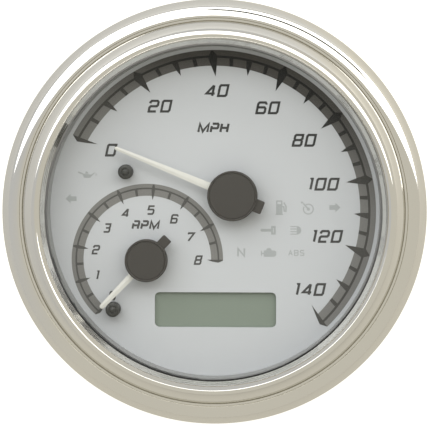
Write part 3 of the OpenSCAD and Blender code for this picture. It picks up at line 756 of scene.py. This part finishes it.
blade("speed_blade", SPEED_HUB, SPEED_REST, reach=38.2, root=2.3, tip=1.05, taper=7.5,
      body="speed_pointer", node_name="speed_pointer_blade")
blade("rpm_blade", RPM_HUB, RPM_REST, reach=20.0, root=2.0, tip=1.5, taper=6.4,
      body="rpm_pointer", node_name="rpm_pointer_blade")
cap("speed_cap", SPEED_HUB, SPEED_REST, radius=7.5, tail_w=3.9, tail_reach=9.8,
    body="speed_pointer", node_name="speed_pointer_cap")
cap("rpm_cap", RPM_HUB, RPM_REST, radius=6.4, tail_w=3.1, tail_reach=9.3,
    body="rpm_pointer", node_name="rpm_pointer_cap")
pin("speed_pin", SPEED_PIN, "speed_stop_pin")
pin("rpm_pin", RPM_PIN, "rpm_stop_pin")

# ---------- studio ----------

scene.view_settings.view_transform = "Standard"
world = bpy.data.worlds.new("studio")
scene.world = world
world.use_nodes = True
# Warm walls and table, and cooler ones towards the upper left of the dial
WARM_WALL, COOL_WALL = (0.65, 0.625, 0.55, 1), (0.60, 0.60, 0.595, 1)
WARM_TABLE, COOL_TABLE = (0.42, 0.40, 0.345, 1), (0.36, 0.36, 0.355, 1)
COOL_SIDE = (-0.75, 0.66, 0)
# The round pool of painted light on the table, in metres, and how strongly it and the rest of the table glow
POOL_R, POOL_FADE = 0.105, 0.02
POOL_GLOW, TABLE_GLOW = 0.9, 0.19


def cool_share(tree, where, reach):
    """A value from 0 on the warm side to 1 on the cool side."""
    lean = add(tree, "ShaderNodeVectorMath", {0: where, 1: COOL_SIDE}, operation="DOT_PRODUCT")
    return add(tree, "ShaderNodeMapRange", {
        "Value": lean.outputs["Value"], "From Min": 0.0, "From Max": reach
    })


def wall_finish():
    tree = world.node_tree
    toward = add(tree, "ShaderNodeTexCoord").outputs["Generated"]
    share = cool_share(tree, toward, 0.7)
    walls = add(tree, "ShaderNodeMix", {0: share.outputs["Result"]}, data_type="RGBA")
    walls.inputs[6].default_value = WARM_WALL
    walls.inputs[7].default_value = COOL_WALL
    tree.links.new(walls.outputs[2], tree.nodes["Background"].inputs["Color"])


def table_finish():
    """A warm pale table that glows, with a round pool of painted light under the object."""
    made = finish("table", WARM_TABLE[:3], rough=0.9, mottle=0.01, cloud=20, relief=0)
    tree = made.node_tree
    shader = tree.nodes["Principled BSDF"]
    where = add(tree, "ShaderNodeNewGeometry").outputs["Position"]
    share = cool_share(tree, where, 0.15)
    paint = add(tree, "ShaderNodeMix", {0: share.outputs["Result"]}, data_type="RGBA")
    paint.inputs[6].default_value = WARM_TABLE
    paint.inputs[7].default_value = COOL_TABLE
    tree.links.new(paint.outputs[2], shader.inputs["Base Color"])
    flat = add(tree, "ShaderNodeVectorMath", {0: where, 1: (1, 1, 0)}, operation="MULTIPLY")
    far = add(tree, "ShaderNodeVectorMath", {0: flat.outputs["Vector"]}, operation="LENGTH")
    # The emission paints light: a bright round pool under the object that fades to a weaker glow on the rest
    # of the table.
    inside = add(tree, "ShaderNodeMapRange", {
        "Value": far.outputs["Value"], "From Min": POOL_R, "From Max": POOL_R + POOL_FADE,
        "To Min": POOL_GLOW, "To Max": TABLE_GLOW
    })
    shader.inputs["Emission Color"].default_value = (1, 0.99, 0.96, 1)
    tree.links.new(inside.outputs["Result"], shader.inputs["Emission Strength"])
    return made


wall_finish()
TABLE_SIZE = 6
FLOOR_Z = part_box("rear_housing")[0].z
bpy.ops.mesh.primitive_plane_add(size=TABLE_SIZE, location=(0, 0, FLOOR_Z))
floor = bpy.context.object
floor.name = "floor"
floor.data.materials.append(table_finish())


def facing(place, back):
    """A camera's placement, with its -Z against back and +Y up in its view."""
    back = Vector(back).normalized()
    side = Vector((0, 1, 0)).cross(back).normalized()
    turn = Matrix((side, back.cross(side), back)).transposed()
    return Matrix.Translation(place) @ turn.to_4x4()


def soft_light(name, centre, width, height, radiance):
    """A rectangular soft light at centre that faces straight down."""
    lamp = bpy.data.lights.new(name, "AREA")
    lamp.shape = "RECTANGLE"
    lamp.size = width
    lamp.size_y = height
    lamp.energy = radiance * math.pi * width * height
    made = bpy.data.objects.new(name, lamp)
    scene.collection.objects.link(made)
    made.location = centre


soft_light("softbox", centre=(1.2, 1.675, 1.0), width=7.6, height=2.65, radiance=2.0)


def softbox_bar():
    """A dark bar just below the soft light, from its middle to the right."""
    bar = Prisms()
    bar.stroke([(-150, 1560), (1150, 1040)], width=380, low=975, high=990)
    mesh = bpy.data.meshes.new("softbox_bar")
    mesh.from_pydata([Vector(p) * MM for p in bar.points], [], bar.faces)
    mesh.materials.append(FINISH["frame_black"])
    made = bpy.data.objects.new("softbox_bar", mesh)
    scene.collection.objects.link(made)


softbox_bar()

# ---------- camera ----------

# How far the camera is and how wide it sees, in metres, and how far right of and above square it stands
DISTANCE = 0.6
VIEW_WIDTH = 0.12784
SENSOR = 36
right, up = math.radians(2.8), math.radians(2.6)
target = Vector((-0.06, -0.10, 4)) * MM
back = Vector((math.tan(right), math.tan(up), 1)).normalized()
camera = bpy.data.objects.new("camera", bpy.data.cameras.new("camera"))
scene.collection.objects.link(camera)
camera.matrix_world = facing(target + back * DISTANCE, back)
camera.data.sensor_width = SENSOR
camera.data.lens = SENSOR * DISTANCE / VIEW_WIDTH
camera.data.clip_start = 0.01
scene.camera = camera
